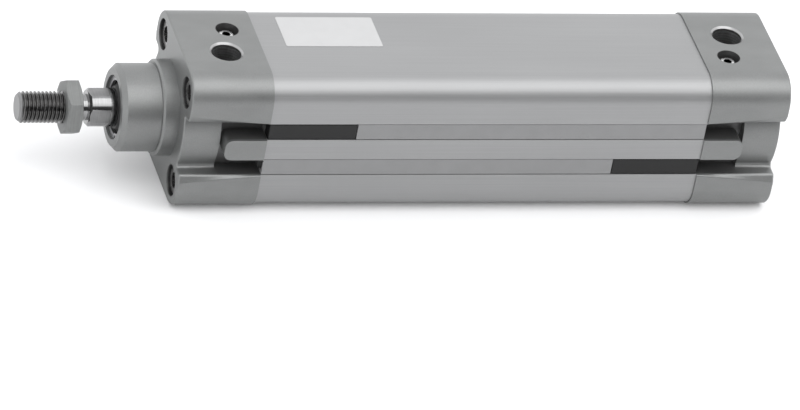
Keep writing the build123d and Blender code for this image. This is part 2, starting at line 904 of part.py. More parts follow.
def chamfered_nut(across_flats, start, thickness, hole_radius, turn):
    """Hexagon nut with both faces chamfered round."""
    end = start + thickness
    blank = hexagon_bar(across_flats, start, end, turn)
    corner = across_flats / 2 / cos(radians(30))
    land = across_flats / 2 * 0.96
    run = nut_chamfer_angle_run
    points = [
        (start, 0.0),
        (start, land),
        (start + run, corner + 0.1),
        (end - run, corner + 0.1),
        (end, land),
        (end, 0.0),
    ]
    return (blank & turned_x(points)) - rod_x(hole_radius, start - 1, end + 1)


def make_rod_nut():
    """Lock nut on the rod's thread, one corner turned to the front."""
    end = -rod_projection - rod_nut_gap
    start = end - rod_nut_thickness
    hole = rod_thread_diameter / 2 + rod_nut_play
    return chamfered_nut(rod_nut_across_flats, start, rod_nut_thickness, hole, 23)


def make_piston_nut():
    """Nut that clamps sleeves and piston on the rod's stem."""
    start = piston_rear_face + rear_sleeve_length
    hole = rod_tail_thread_diameter / 2 + piston_nut_play
    return chamfered_nut(piston_nut_across_flats, start, piston_nut_thickness, hole, 0)


def all_parts():
    """Every node of the cylinder by name."""
    switch_upper_start = tube_start + switch_end_gap
    switch_lower_start = tube_end - switch_end_gap - switch_length
    upper_strip_start = switch_upper_start + switch_length
    front_needle = make_needle()
    front_needle_ring = make_needle_ring()
    tube_ring = make_tube_ring()
    cushion_seal = make_cushion_seal()
    parts = {
        "barrel_profile": make_tube(),
        "front_cap": make_front_cap(),
        "rear_cap": make_rear_cap(),
        "front_barrel_ring": tube_ring,
        "rear_barrel_ring": to_rear(tube_ring),
        "front_cushion_seal": cushion_seal,
        "rear_cushion_seal": to_rear(cushion_seal),
        "rod_guide_bush": make_guide_bush(),
        "rod_seal": make_rod_seal(),
        "retaining_ring": make_retaining_ring(),
        "slot_strip_front_upper": make_strip(slot_height, upper_strip_start, tube_end),
        "slot_strip_front_lower": make_strip(-slot_height, tube_start, switch_lower_start),
        "slot_strip_back_upper": mirror(make_strip(slot_height, tube_start, tube_end), Plane.XZ),
        "slot_strip_back_lower": mirror(make_strip(-slot_height, tube_start, tube_end), Plane.XZ),
        "position_switch_front": make_switch(slot_height, switch_upper_start),
        "position_switch_rear": make_switch(-slot_height, switch_lower_start),
        "front_cushion_needle": front_needle,
        "front_needle_ring": front_needle_ring,
        "rear_cushion_needle": to_rear(front_needle),
        "rear_needle_ring": to_rear(front_needle_ring),
        "piston_half_front": piston_half(-1),
        "piston_half_rear": piston_half(1),
        "piston_magnet": make_magnet(),
        "piston_seal_front": piston_seal(-1),
        "piston_seal_rear": piston_seal(1),
        "piston_wear_ring": make_wear_ring(),
        "front_buffer": make_buffer(piston_front_face - buffer_thickness),
        "rear_buffer": make_buffer(piston_rear_face),
        "front_cushion_sleeve": sleeve(piston_front_face - cushion_sleeve_length, piston_front_face, True),
        "rear_cushion_sleeve": sleeve(piston_rear_face, piston_rear_face + rear_sleeve_length, False),
        "piston_nut": make_piston_nut(),
        "piston_rod": make_rod(),
        "rod_nut": make_rod_nut(),
    }
    for number, (y, z) in enumerate(corner_positions(), start=1):
        screw = make_screw(y, z)
        parts["front_cap_screw_" + str(number)] = screw
        parts["rear_cap_screw_" + str(number)] = to_rear(screw)
    return parts


def main():
    """Write one file per node."""
    os.makedirs("parts", exist_ok=True)
    for name, shape in all_parts().items():
        export_step(shape, "parts/" + name + ".step")


main()
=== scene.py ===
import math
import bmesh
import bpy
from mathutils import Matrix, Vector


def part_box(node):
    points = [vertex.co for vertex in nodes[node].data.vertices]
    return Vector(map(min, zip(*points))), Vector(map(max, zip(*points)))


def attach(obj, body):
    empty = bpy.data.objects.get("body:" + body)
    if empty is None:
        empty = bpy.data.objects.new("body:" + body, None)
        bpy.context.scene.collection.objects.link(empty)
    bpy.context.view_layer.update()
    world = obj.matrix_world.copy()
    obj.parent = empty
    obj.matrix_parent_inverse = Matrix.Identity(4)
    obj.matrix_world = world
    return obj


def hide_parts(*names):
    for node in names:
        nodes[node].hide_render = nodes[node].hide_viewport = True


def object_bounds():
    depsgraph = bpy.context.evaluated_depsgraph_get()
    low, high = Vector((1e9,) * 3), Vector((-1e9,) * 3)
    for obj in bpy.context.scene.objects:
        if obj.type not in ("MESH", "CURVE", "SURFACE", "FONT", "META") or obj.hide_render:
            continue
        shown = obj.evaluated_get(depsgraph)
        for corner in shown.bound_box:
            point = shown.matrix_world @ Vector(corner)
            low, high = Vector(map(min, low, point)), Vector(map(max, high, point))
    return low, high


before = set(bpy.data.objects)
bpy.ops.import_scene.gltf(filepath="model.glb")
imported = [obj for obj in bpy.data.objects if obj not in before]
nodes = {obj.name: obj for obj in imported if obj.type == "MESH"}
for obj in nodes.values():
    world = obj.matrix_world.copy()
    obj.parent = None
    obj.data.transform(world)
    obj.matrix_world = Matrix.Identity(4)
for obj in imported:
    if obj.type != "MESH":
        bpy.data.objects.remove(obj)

# %% [markdown]
# A pneumatic cylinder, dressed for its picture
# The object is a profile cylinder: a drawn aluminium barrel between two cast end caps, with a
# chromed rod that carries a lock nut. It could be modelled again in Blender, but the solids of the
# CAD model are exact, so they stay where they are. This lesson gives them their finishes and adds
# the small forms that a CAD solid leaves out, such as cut threads and a label. Blender works in
# metres here, with the rod along X and the ports facing up along Z. The words below give lengths
# in millimetres, so mm turns one into the other.

mm = 0.001
scene = bpy.context.scene
cad_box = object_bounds()
middle = 97  # millimetres along X, halfway between the end faces of the caps
print("solids:", len(nodes), "box in mm:", [round(c / mm, 1) for c in (*cad_box[0], *cad_box[1])])

# %% [markdown]
# The camera
# The picture was taken from the front and above with a long lens, which keeps parallel edges
# nearly parallel. The camera could be placed by eye, but the corners of the caps, the screws and
# the ports were measured on the picture and solved for one camera, so the outline agrees to about
# two pixels. The object lies level in the picture because the camera is rolled about its own axis.

# %% Camera from the measured angles
turn, tilt, roll = (math.radians(a) for a in (20.3046, 32.9039, 11.2071))
aside, above, away = 20.8026 * mm, 30.5122 * mm, 2646.632 * mm
forward = Vector(
    (math.sin(turn) * math.cos(tilt), math.cos(turn) * math.cos(tilt), -math.sin(tilt))
)
level = Vector((math.cos(turn), -math.sin(turn), 0))
upright = level.cross(forward)
right = math.cos(roll) * level + math.sin(roll) * upright
up = math.cos(roll) * upright - math.sin(roll) * level
aim = Vector((middle * mm, 0, 0))
viewpoint = aim - aside * right - above * up - away * forward
camera = bpy.data.objects.new("picture_camera", bpy.data.cameras.new("picture_camera"))
camera.data.lens = 381.36
camera.data.sensor_width = 36
camera.data.clip_end = 60
camera.matrix_world = Matrix((right, up, -forward)).transposed().to_4x4()
camera.matrix_world.translation = viewpoint
scene.collection.objects.link(camera)
scene.camera = camera
scene.view_settings.view_transform = "Standard"
print("camera at", [round(c, 3) for c in viewpoint], "lens", camera.data.lens)

# %% [markdown]
# Node trees as arithmetic
# Materials, the sky and Geometry Nodes are all node trees. They could be wired by hand with one
# line per link. Here a small class wraps one output socket, so that a * 2 + b, 1 - a and abs(a)
# add the Math nodes for them, and a rule reads in the code as it would on paper.

# %% One output, used like a number
class Flow:
    """One output of a node tree, which can be used in sums."""

    def __init__(self, web, socket):
        self.web = web
        self.socket = socket

    def maths(self, operation, first, second=0.0):
        return self.web.node("ShaderNodeMath", {"operation": operation}, {0: first, 1: second})

    def __add__(self, other):
        return self.maths("ADD", self, other)

    def __sub__(self, other):
        return self.maths("SUBTRACT", self, other)

    def __rsub__(self, other):
        return self.maths("SUBTRACT", other, self)

    def __mul__(self, other):
        return self.maths("MULTIPLY", self, other)

    def __truediv__(self, other):
        return self.maths("DIVIDE", self, other)

    def __pow__(self, other):
        return self.maths("POWER", self, other)

    def __abs__(self):
        return self.maths("ABSOLUTE", self)

    def least(self, other):
        return self.maths("MINIMUM", self, other)

    def most(self, other):
        return self.maths("MAXIMUM", self, other)

    __radd__ = __add__
    __rmul__ = __mul__


print("sums can now be written with + - * / ** and abs")

# %% [markdown]
# Any other node
# Noise, mixes, shaders and curves are nodes too, but not arithmetic. Each kind could get a helper
# of its own. One method serves them all instead: it takes the node's type, its settings, which are
# set first because they can change its sockets, and then what goes into the sockets.

# %% One method for every node
class Web:
    """A node tree that is filled by expressions."""

    def __init__(self, tree):
        self.tree = tree

    def node(self, kind, settings=None, sockets=None, output=0):
        """Adds a node and returns one output, a list for a tuple of outputs, or None."""
        made = self.tree.nodes.new(kind)
        for name, value in (settings or {}).items():
            setattr(made, name, value)
        for name, value in (sockets or {}).items():
            self.join(made.inputs[name], value)
        if isinstance(output, tuple):
            return [Flow(self, made.outputs[wanted]) for wanted in output]
        return Flow(self, made.outputs[output]) if len(made.outputs) else None

    def join(self, socket, value):
        """Links an output to the socket, or sets the socket to a plain value."""
        if isinstance(value, Flow):
            self.tree.links.new(value.socket, socket)
        else:
            socket.default_value = value


print("any node can now be added with Web.node")

# %% [markdown]
# The floor
# In the studio the object stands on a wide pale sheet, which catches its shadow. The sheet could
# be bent up into a backdrop, but the camera looks down and sees nothing but floor, so one flat
# face will do. It lies a hair below the object, which keeps the two from flickering.

# %% Floor: one wide face
floor_reach = 12
floor_height = cad_box[0].z - 0.02 * mm
floor_corners = [
    (-floor_reach, -floor_reach, floor_height),
    (floor_reach, -floor_reach, floor_height),
    (floor_reach, floor_reach, floor_height),
    (-floor_reach, floor_reach, floor_height),
]
floor_mesh = bpy.data.meshes.new("floor")
floor_mesh.from_pydata(floor_corners, [], [(0, 1, 2, 3)])
floor = bpy.data.objects.new("floor", floor_mesh)
scene.collection.objects.link(floor)
print("floor at", round(floor_height / mm, 2), "mm")

# %% [markdown]
# Floor paint
# The sheet is matt and nearly white. More light would whiten it but also bleach the object, so the
# rays that look at it, straight or by a mirror, get a small share of plain white glow instead. The
# rest stays matt paint, which keeps the shadow.

# %% Floor: matt paint with a little glow
floor_paint = bpy.data.materials.new("floor paint")
floor_paint.use_nodes = True
sheet = Web(floor_paint.node_tree)
sheet.tree.nodes.clear()
matt = sheet.node("ShaderNodeBsdfDiffuse", {}, {"Color": (0.86, 0.86, 0.865, 1)})
glow = sheet.node("ShaderNodeEmission", {}, {"Color": (1, 1, 1, 1), "Strength": 1.0})
rays = ("Is Camera Ray", "Is Glossy Ray", "Is Transmission Ray")
straight, mirrored, through = sheet.node("ShaderNodeLightPath", output=rays)
glow_share = straight.most(mirrored).most(through) * 0.08
covered = sheet.node("ShaderNodeMixShader", {}, {0: glow_share, 1: matt, 2: glow})
sheet.node("ShaderNodeOutputMaterial", {}, {"Surface": covered})
floor_mesh.materials.append(floor_paint)
print("floor paint nodes:", len(sheet.tree.nodes))

# %% [markdown]
# The sky
# A product picture of bright metal is mostly a picture of what the metal mirrors. Here that is a
# bright wall above and behind, and a dark room low in front, which gives the rod its black band
# and the barrel its dark line below the rounded edge. Both could be walls of real boxes, but one
# smooth gradient over the direction does the same with one node. The room is darkest within about
# 20 degrees of its middle and ends at 60.

# %% Sky: a bright wall behind, a dark room in front
studio = bpy.data.worlds.new("studio")
studio.use_nodes = True
scene.world = studio
sky = Web(studio.node_tree)
sky.tree.nodes.clear()
direction = sky.node("ShaderNodeTexCoord", output="Generated")
dark_room = Vector((0.25, -0.96, 0.03)).normalized()
wall_light, room_light = 1.38, 0.1
towards = {0: direction, 1: dark_room}
facing = sky.node("ShaderNodeVectorMath", {"operation": "DOT_PRODUCT"}, towards, "Value")
brightness = sky.node(
    "ShaderNodeMapRange",
    {"interpolation_type": "SMOOTHSTEP"},
    {"Value": facing, "From Min": 0.5, "From Max": 0.93, "To Min": wall_light, "To Max": room_light},
)
sky_colours = {"Color": (0.985, 0.99, 1, 1), "Strength": brightness}
background = sky.node("ShaderNodeBackground", {}, sky_colours)
sky.node("ShaderNodeOutputWorld", {}, {"Surface": background})
print("sky from", room_light, "in the dark room to", wall_light, "on the bright wall")

# %% [markdown]
# Soft lights
# A large softbox high in front gives the barrel's top its broad sheen and the soft shadow. A weak
# one at the side lifts the floor close to the object, where no mirrored ray from the camera meets
# it. Lamps with a surface are used, because a point lamp would show as a spark on every edge.

# %% Two softboxes
def soft_light(name, where, size, power):
    """A rectangular lamp that looks at the origin; its size is in metres and its power in watts."""
    lamp = bpy.data.lights.new(name, "AREA")
    lamp.shape = "RECTANGLE"
    lamp.size, lamp.size_y = size
    lamp.energy = power
    lamp_object = bpy.data.objects.new(name, lamp)
    lamp_object.location = where
    lamp_object.rotation_mode = "QUATERNION"
    lamp_object.rotation_quaternion = (-Vector(where)).to_track_quat("-Z", "Y")
    scene.collection.objects.link(lamp_object)
    print(name, "radiance", round(power / (math.pi * size[0] * size[1]), 2))


soft_light("front_softbox", (0.45, -0.9, 1.74), (2.4, 1.7), 21)
soft_light("side_softbox", (1.7, -0.9, 0.75), (0.8, 0.8), 6)

# %% [markdown]
# Finishes
# Every finish here is a metal, a plastic or a rubber that is nearly even, and it is the small
# unevenness that makes it look real: streaks along a drawn profile, grain on a casting, rings on a
# turned face. Each could be a picture wrapped round the part. Noise on the object's own
# coordinates is used instead, because it needs no unwrapping and stays put when the part moves.

# %% The base of every finish
finishes = {}


class Finish(Web):
    """A material whose varying inputs are built from object coordinates in millimetres."""

    def __init__(self, name, constants):
        material = bpy.data.materials.new(name)
        material.use_nodes = True
        super().__init__(material.node_tree)
        self.shader = self.tree.nodes["Principled BSDF"]
        for socket, value in constants.items():
            self.shader.inputs[socket].default_value = value
        self.place = self.node("ShaderNodeTexCoord", output="Object")
        finishes[name.replace(" ", "_")] = material

    def feed(self, socket, value):
        self.join(self.shader.inputs[socket], value)

    def grain(self, size, detail=2.0, stretch=(1, 1, 1)):
        """Noise from 0 to 1 whose spots are about size millimetres, drawn out by stretch."""
        scale = tuple(1 / (mm * s) for s in stretch)
        spot = self.node("ShaderNodeMapping", {}, {"Vector": self.place, "Scale": scale})
        noise = {"Vector": spot, "Scale": 1 / size, "Detail": detail}
        return self.node("ShaderNodeTexNoise", {}, noise)

    def sharpen(self, value, low, high):
        """Spreads the values between low and high over 0 to 1, held at both ends."""
        spread = {"Value": value, "From Min": low, "From Max": high}
        return self.node("ShaderNodeMapRange", {}, spread)

    def mix(self, mask, first, second):
        """The first colour where the mask is 0 and the second where it is 1."""
        ends = [(*c, 1) if isinstance(c, tuple) else c for c in (first, second)]
        colours = {0: mask, 6: ends[0], 7: ends[1]}
        return self.node("ShaderNodeMix", {"data_type": "RGBA"}, colours, 2)

    def relief(self, height, depth, strength=1.0):
        """Feeds a bump of the given depth in millimetres to the shader."""
        sockets = {"Height": height, "Distance": depth * mm, "Strength": strength}
        self.feed("Normal", self.node("ShaderNodeBump", {}, sockets))


print("a finish can be fed with grain, sharpen, mix and relief")

# %% [markdown]
# Greys
# Nearly every colour on this object is a grey. A screen shows grey levels from 0 to 255, while
# Blender counts light. The light could be written down for each colour, but levels are easier to
# compare with what the screen shows, so the screen's own curve turns one into the other. A small
# tint makes a metal a little warmer, bluer or greener.

# %% A grey from its level on the screen
def grey(level, tint=(0, 0, 0)):
    """A linear grey from a display level of 0 to 255, with a small tint."""
    value = ((level / 255 + 0.055) / 1.055) ** 2.4
    return tuple(value * (1 + t) for t in tint)


print("level 143 is", round(grey(143)[0], 3), "of the light, level 15 is", round(grey(15)[0], 4))

# %% [markdown]
# Anodised profile
# The barrel is pressed through a die, so it carries fine lines along its length, and the anodised
# skin on it is satin and even. Lines this fine could only be modelled with millions of faces, so
# stretched noise gives them: a hundred and sixty times longer along X than across. They vary the
# roughness more than the colour, as on the real skin.

# %% Anodised profile
anodised = Finish("anodised profile", {"Metallic": 0.7})
lines = anodised.grain(0.35, 3, (160, 1, 1))
clouds = anodised.grain(22, 2, (3, 1, 1))
tone = anodised.sharpen(lines * 0.55 + clouds * 0.45, 0.3, 0.7)
deep_grey, pale_grey = grey(143, (0, 0.006, 0.012)), grey(152, (0, 0.004, 0.01))
anodised.feed("Base Color", anodised.mix(tone, deep_grey, pale_grey))
anodised.feed("Roughness", 0.37 + lines * 0.1)
anodised.relief(lines, 0.004, 0.5)
print("anodised profile nodes:", len(anodised.tree.nodes))

# %% [markdown]
# Cast caps
# The caps are die cast and tumbled. Their skin is a little darker and greener than the barrel's,
# with a fine pebble grain and soft flow marks. One noise alone looks like sand, so there are two:
# one of a third of a millimetre for the pebbles, one of several millimetres for the flow.

# %% Cast caps: the tumbled skin
cast = Finish("cast cap", {"Metallic": 0.7})
pebbles = cast.grain(0.32, 3)
flow_marks = cast.grain(7, 3, (2, 1, 1))
cast_tone = cast.sharpen(pebbles * 0.5 + flow_marks * 0.5, 0.35, 0.65)
greenish = (-0.01, 0.01, 0)
tumbled = cast.mix(cast_tone, grey(120, greenish), grey(132, greenish))
cast.relief(pebbles, 0.012, 0.6)
print("cast cap nodes:", len(cast.tree.nodes))

# %% [markdown]
# Masks from coordinates
# The pockets, the lower shelf and the holes lie in shade, and painted shade makes their colour
# darker. Vertices could be painted for that, but every one of these places has plain borders in
# millimetres, so a mask can be written as a band of a coordinate, and two masks are multiplied where
# both must hold.

# %% Bands, distances and the coordinates of a finish
def axes(finish):
    """The object coordinates x, y and z in millimetres."""
    return [c / mm for c in finish.node("ShaderNodeSeparateXYZ", {}, {0: finish.place}, (0, 1, 2))]


def band(finish, value, start, full, last, end):
    """A mask that rises from start to full and falls from last to end."""
    return finish.sharpen(value, start, full) * finish.sharpen(value, end, last)


def distance(first, second):
    """How far a point lies from an axis, from its two offsets."""
    return (first**2 + second**2) ** 0.5


x, y, z = axes(cast)
from_middle = abs(x - middle)
print("masks are measured from x =", middle, "mm")

# %% [markdown]
# Pockets and shelf
# Each side of a cap is waisted between a tongue and two columns. The pockets lie next to the barrel,
# 71 to 85 mm from the middle, and the shelf below the tongue darkens towards them. Real shadow alone
# could do this, but the pale floor shines into them and fills it, so painted shade darkens their
# colour as well, from the flat side in to the round middle.

# %% Cast caps: painted shade in the pockets and on the shelf
on_shelf = cast.sharpen(abs(z), 8.9, 9.2) * cast.sharpen(from_middle, 94, 83)
in_pocket = band(cast, from_middle, 70.9, 71, 84.6, 85.2)
across = band(cast, abs(y), 16.0, 16.2, 22.8, 23.1)
upward = band(cast, abs(z), 2.6, 3.4, 10.6, 12.0)
shaded = on_shelf.most(in_pocket) * across * upward
# Painted shade: level 100 on the shelf and in the pockets.
skin = cast.mix(shaded, tumbled, grey(100))
print("dull skin on the shelf and in the pockets, level 100")

# %% [markdown]
# Holes and port rims
# The recesses of the cap screws, the air ports and the recesses of the cushion needles lie in deeper
# shade, and painted shade makes their colour darker still. Round each port the cutter has left a
# bright edge. A thin ring could be laid there, but it would stand proud of the cap. All of these
# places are round, so the distance from their own axis tells where they begin. The ports and needles
# of the two caps are a half turn apart, so the side of the cap turns the sign of Y.

# %% Cast caps: painted shade in the holes, and bright port rims
screw_offset = 16.25
port_offset, port_aside = 82.8, 5
needle_offset, needle_aside = 79.8, 7.3
side = (x - middle) / from_middle
from_screw = distance(abs(y) - screw_offset, abs(z) - screw_offset)
from_port = distance(from_middle - port_offset, y * side - port_aside)
from_needle = distance(from_middle - needle_offset, y * side + needle_aside)
# Painted shade in the recesses of the cap screws, level 64.
in_recess = cast.sharpen(from_screw, 5.2, 5.05) * cast.sharpen(from_middle, 96.8, 96.4)
skin = cast.mix(in_recess, skin, grey(64))
# Painted shade on the walls of the air ports and the needle recesses, level 88.
in_port, in_needle = cast.sharpen(from_port, 5.0, 4.9), cast.sharpen(from_needle, 3.75, 3.68)
skin = cast.mix(in_port.most(in_needle) * cast.sharpen(z, 14, 15), skin, grey(88))
on_rim = cast.sharpen(from_port, 5.38, 5.32) * band(cast, z, 23.3, 23.4, 23.96, 23.99)
cast.feed("Base Color", cast.mix(on_rim, skin, grey(160)))
cast.feed("Roughness", 0.36 + flow_marks * 0.12 - on_rim * 0.1)
print("cast cap nodes with all masks:", len(cast.tree.nodes))

# %% [markdown]
# Rod, nut and screws
# The rod is hard chromed and polished, so it mirrors the room with only a breath of blur. Its
# thread is rolled and oiled, which makes it dark. The nut and the screws are zinc plated: the nut
# is dull, the screws a little brighter. Fine rings round the axis stand for the marks of turning
# and polishing. An anisotropic shader would draw out the highlights too, but it needs tangents
# that a CAD solid doesn't have. One recipe makes all these metals, and each has its own level and
# roughness.

# %% Turned and polished metals
def ringed(name, level, tint, metallic, low, high, depth):
    """A metal with fine turning rings across X."""
    made = Finish(name, {"Metallic": metallic})
    rings = made.grain(0.3, 2, (1, 60, 60))
    soft = made.grain(3.0, 2)
    wear = made.sharpen(rings * 0.5 + soft * 0.5, 0.35, 0.65)
    made.feed("Base Color", made.mix(wear, grey(level - 8, tint), grey(level + 6, tint)))
    made.feed("Roughness", low + soft * (high - low))
    made.relief(rings, depth, 0.5)
    return made


ringed("chromed rod", 142, (0, 0.004, 0.008), 1.0, 0.08, 0.16, 0.002)
ringed("rolled thread", 94, (0.01, 0, -0.01), 0.95, 0.13, 0.2, 0.002)
ringed("zinc nut", 119, (-0.01, 0.015, 0), 0.4, 0.45, 0.58, 0.006)
ringed("zinc steel", 146, (0.01, 0.004, -0.01), 0.95, 0.22, 0.34, 0.004)
ringed("turned aluminium", 205, (0, 0.003, 0.008), 1.0, 0.25, 0.36, 0.006)
ringed("spring steel", 150, (0, 0, 0.02), 0.8, 0.3, 0.42, 0.002)
ringed("milled flat", 126, (0, 0.004, 0.008), 0.7, 0.32, 0.42, 0.003)
ringed("bearing bronze", 150, (0.35, 0, -0.45), 0.9, 0.35, 0.5, 0.004)
print("metals so far:", sorted(finishes))

# %% [markdown]
# Cushion needles
# A cushion needle is a small bright screw with a hexagon socket, and the socket lies in shade. The
# socket could be left to its shadow, but polished walls still mirror the sky down there, so a mask
# round the needle's own axis darkens them with painted shade.

# %% Needle steel with painted shade in the socket
needle = ringed("needle steel", 205, (0, 0, 0), 1.0, 0.18, 0.3, 0.002)
x, y, z = axes(needle)
from_axis = distance(abs(x - middle) - needle_offset, abs(y) - needle_aside)
in_socket = needle.sharpen(from_axis, 1.4, 1.25)
# Painted shade in the hexagon socket, level 26.
needle.feed("Base Color", needle.mix(in_socket, grey(212), grey(26)))
print("needle steel nodes:", len(needle.tree.nodes))

# %% [markdown]
# Plastics and rubber
# The strips in the slots, the switch housings and the seals are moulded. Each could have a finish
# made from nothing, but every moulded skin has a fine spark-eroded grain, a soft sheen and no
# streaks. So one recipe serves them all, and each has its own colour and roughness.

# %% Moulded skins
def moulded(name, level, tint, low, high, grain_size, depth):
    """A moulded plastic or rubber with a fine grain."""
    made = Finish(name, {"Metallic": 0.0, "Specular IOR Level": 0.4})
    pores = made.grain(grain_size, 2)
    blotches = made.grain(6, 2)
    made.feed("Base Color", made.mix(blotches, grey(level - 4, tint), grey(level + 4, tint)))
    made.feed("Roughness", low + pores * (high - low))
    made.relief(pores, depth, 0.6)


moulded("grey strip", 128, (0, 0.005, 0.015), 0.42, 0.56, 0.2, 0.006)
moulded("switch housing", 15, (0, 0.01, 0.03), 0.42, 0.56, 0.22, 0.01)
moulded("seal rubber", 26, (0, 0, 0.02), 0.45, 0.6, 0.18, 0.01)
moulded("wear plastic", 96, (0.25, 0, -0.3), 0.4, 0.55, 0.2, 0.006)
moulded("magnet", 58, (0.06, 0, -0.02), 0.5, 0.65, 0.15, 0.01)
moulded("label film", 177, (0, 0, 0.004), 0.3, 0.38, 0.5, 0.003)
print("all finishes:", len(finishes))

# %% [markdown]
# Dressing the solids
# Each solid comes from the CAD with one slot that names its material. The solids could be painted
# one by one, but here the finish of the same name goes into that slot, so a new solid with a known
# slot needs no further line.

# %% Every solid gets the finish of its slot
for name, node in nodes.items():
    slot = node.material_slots[0].material.name.split(".")[0]
    node.material_slots[0].material = finishes[slot]
print("dressed", len(nodes), "solids")

# %% [markdown]
# Cut threads
# A thread is a ridge that climbs by one pitch in each turn. It could be a bump map, but its
# outline shows at the rod's end and in the ports, so it is real. It follows a rule, and Geometry
# Nodes are made for rules: a tree with a few sizes as inputs gives the shape, and the result is
# turned into a plain mesh at once.

# %% A Geometry Nodes tree, run once
def with_tree(name, tree_maker, sizes, material):
    """Runs a Geometry Nodes tree on an empty mesh and returns the result as a plain object."""
    tree = bpy.data.node_groups.new(name, "GeometryNodeTree")
    panel = tree.interface
    panel.new_socket(name="Geometry", in_out="OUTPUT", socket_type="NodeSocketGeometry")
    sockets = {}
    for label, value in sizes.items():
        kind = "NodeSocketInt" if isinstance(value, int) else "NodeSocketFloat"
        sockets[label] = panel.new_socket(name=label, in_out="INPUT", socket_type=kind)
    web = Web(tree)
    inputs = web.node("NodeGroupInput", output=tuple(sizes))
    shape = tree_maker(web, dict(zip(sizes, inputs)))
    real = web.node("GeometryNodeRealizeInstances", {}, {0: shape})
    painted = {"Geometry": real, "Material": material}
    web.node("NodeGroupOutput", {}, {0: web.node("GeometryNodeSetMaterial", {}, painted)})
    carrier = bpy.data.objects.new(name, bpy.data.meshes.new(name + " carrier"))
    scene.collection.objects.link(carrier)
    modifier = carrier.modifiers.new(name, "NODES")
    modifier.node_group = tree
    for label, value in sizes.items():
        modifier[sockets[label].identifier] = value
    evaluated = carrier.evaluated_get(bpy.context.evaluated_depsgraph_get())
    plain = bpy.data.meshes.new_from_object(evaluated)
    carrier.modifiers.remove(modifier)
    carrier.data = plain
    plain.name = name
    print(name, "faces", len(plain.polygons))
    return carrier


def turned_to(piece, matrix):
    """Moves the piece's points, so that the object itself stays at the origin."""
    piece.data.transform(matrix)
    piece.data.update()
    return piece


print("a tree can now be run with with_tree")

# %% [markdown]
# The rule of the rod's thread
# The rod's thread is a cylinder whose radius follows one wave along the axis, shifted with the
# angle. The wave goes from 0 on the crest to 1 in the root, and it is held near both ends, which
# gives the crest and the root their flats. The tree takes the smallest of this radius, the chamfer
# at the tip and the neck at the shoulder. A ridge swept along a spiral would leave a seam there.

# %% Geometry Nodes: the rod's thread
def rod_thread(web, size):
    """A threaded drum along Z, from 0 to the thread's length plus its neck."""
    whole = size["Length"] + size["Neck Length"]
    drum_sizes = {"Vertices": size["Steps Round"], "Side Segments": size["Steps Along"]}
    drum_sizes.update({"Radius": 1.0, "Depth": whole})
    drum = web.node("GeometryNodeMeshCylinder", {"fill_type": "NGON"}, drum_sizes)
    point = web.node("GeometryNodeInputPosition")
    x, y, z = web.node("ShaderNodeSeparateXYZ", {}, {0: point}, (0, 1, 2))
    along = z + whole * 0.5
    angle = web.node("ShaderNodeMath", {"operation": "ARCTAN2"}, {0: y, 1: x})
    phase = along / size["Pitch"] + angle / (2 * math.pi)
    wave = web.node("ShaderNodeMath", {"operation": "PINGPONG"}, {0: phase, 1: 0.5}) * 2
    slope = ((wave - 0.1) / 0.75).most(0.0).least(1.0)
    crest = size["Radius"] - slope * size["Depth"]
    tip = size["Radius"] - size["Chamfer"] + along
    neck = size["Neck Radius"] + (size["Length"] - along).most(0.0)
    radius = crest.least(tip).least(neck)
    stretch = radius * (x * x + y * y) ** 0.5
    spot = web.node("ShaderNodeCombineXYZ", {}, {0: x * stretch, 1: y * stretch, 2: along})
    return web.node("GeometryNodeSetPosition", {}, {"Geometry": drum, "Position": spot})


thread_sizes = {
    "Length": 19.3 * mm,
    "Radius": 5 * mm,
    "Pitch": 1.25 * mm,
    "Depth": 0.7 * mm,
    "Chamfer": 1.1 * mm,
    "Neck Radius": 4.05 * mm,
    "Neck Length": 2.1 * mm,
    "Steps Round": 56,
    "Steps Along": 260,
}
thread = with_tree("rod thread", rod_thread, thread_sizes, finishes["rolled_thread"])
tip_of_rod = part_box("piston_rod")[0].x
along_x = Matrix.Rotation(math.radians(90), 4, "Y")
turned_to(thread, Matrix.Translation((tip_of_rod, 0, 0)) @ along_x)
print("thread starts at", round(tip_of_rod / mm, 2), "mm")

# %% [markdown]
# The rod behind the thread
# The CAD rod has a plain cylinder where its thread is. The whole rod could be built again, but a
# copy of it is closer to the source: it is cut off in the neck behind the thread and closed. The
# copy's triangles are loose, so they are merged first.

# %% A copy of the rod, cut in the neck
def plain_copy(node, name):
    """A copy of a solid's mesh with its loose triangles merged."""
    mesh = nodes[node].data.copy()
    work = bmesh.new()
    work.from_mesh(mesh)
    bmesh.ops.remove_doubles(work, verts=work.verts, dist=0.001 * mm)
    work.to_mesh(mesh)
    work.free()
    made = bpy.data.objects.new(name, mesh)
    scene.collection.objects.link(made)
    return made


def cut_at_x(piece, where):
    """Removes what lies below x = where and closes the cut."""
    work = bmesh.new()
    work.from_mesh(piece.data)
    plane = {"plane_co": (where, 0, 0), "plane_no": (1, 0, 0), "clear_inner": True}
    cut = bmesh.ops.bisect_plane(work, geom=[*work.verts, *work.edges, *work.faces], **plane)
    rim = [e for e in cut["geom_cut"] if isinstance(e, bmesh.types.BMEdge)]
    bmesh.ops.contextual_create(work, geom=rim)
    bmesh.ops.recalc_face_normals(work, faces=work.faces)
    work.to_mesh(piece.data)
    work.free()


rod = plain_copy("piston_rod", "threaded_piston_rod")
cut_at_x(rod, tip_of_rod + 21 * mm)
print("rod faces behind the cut:", len(rod.data.polygons))

# %% [markdown]
# Milled flats and the tip
# Only the round part of the rod is polished. The two wrench flats and the end face are left as the
# cutter made them, and the neck is chromed like the rod. A mask in the material would soften their
# borders, so single faces get another finish, picked by their middle and the way they face.

# %% Faces picked by place
def paint(piece, finish, chosen):
    """Gives the finish to the faces of the piece that chosen picks by their middle and normal."""
    piece.data.materials.append(finishes[finish])
    slot = len(piece.data.materials) - 1
    picked = [face for face in piece.data.polygons if chosen(face.center / mm, face.normal)]
    for face in picked:
        face.material_index = slot
    print(finish, "on", len(picked), "faces")


flats_start, flats_end, half_across_flats = -26, -19.2, 5.5
tip_face, neck_start = -46.95, -28.8


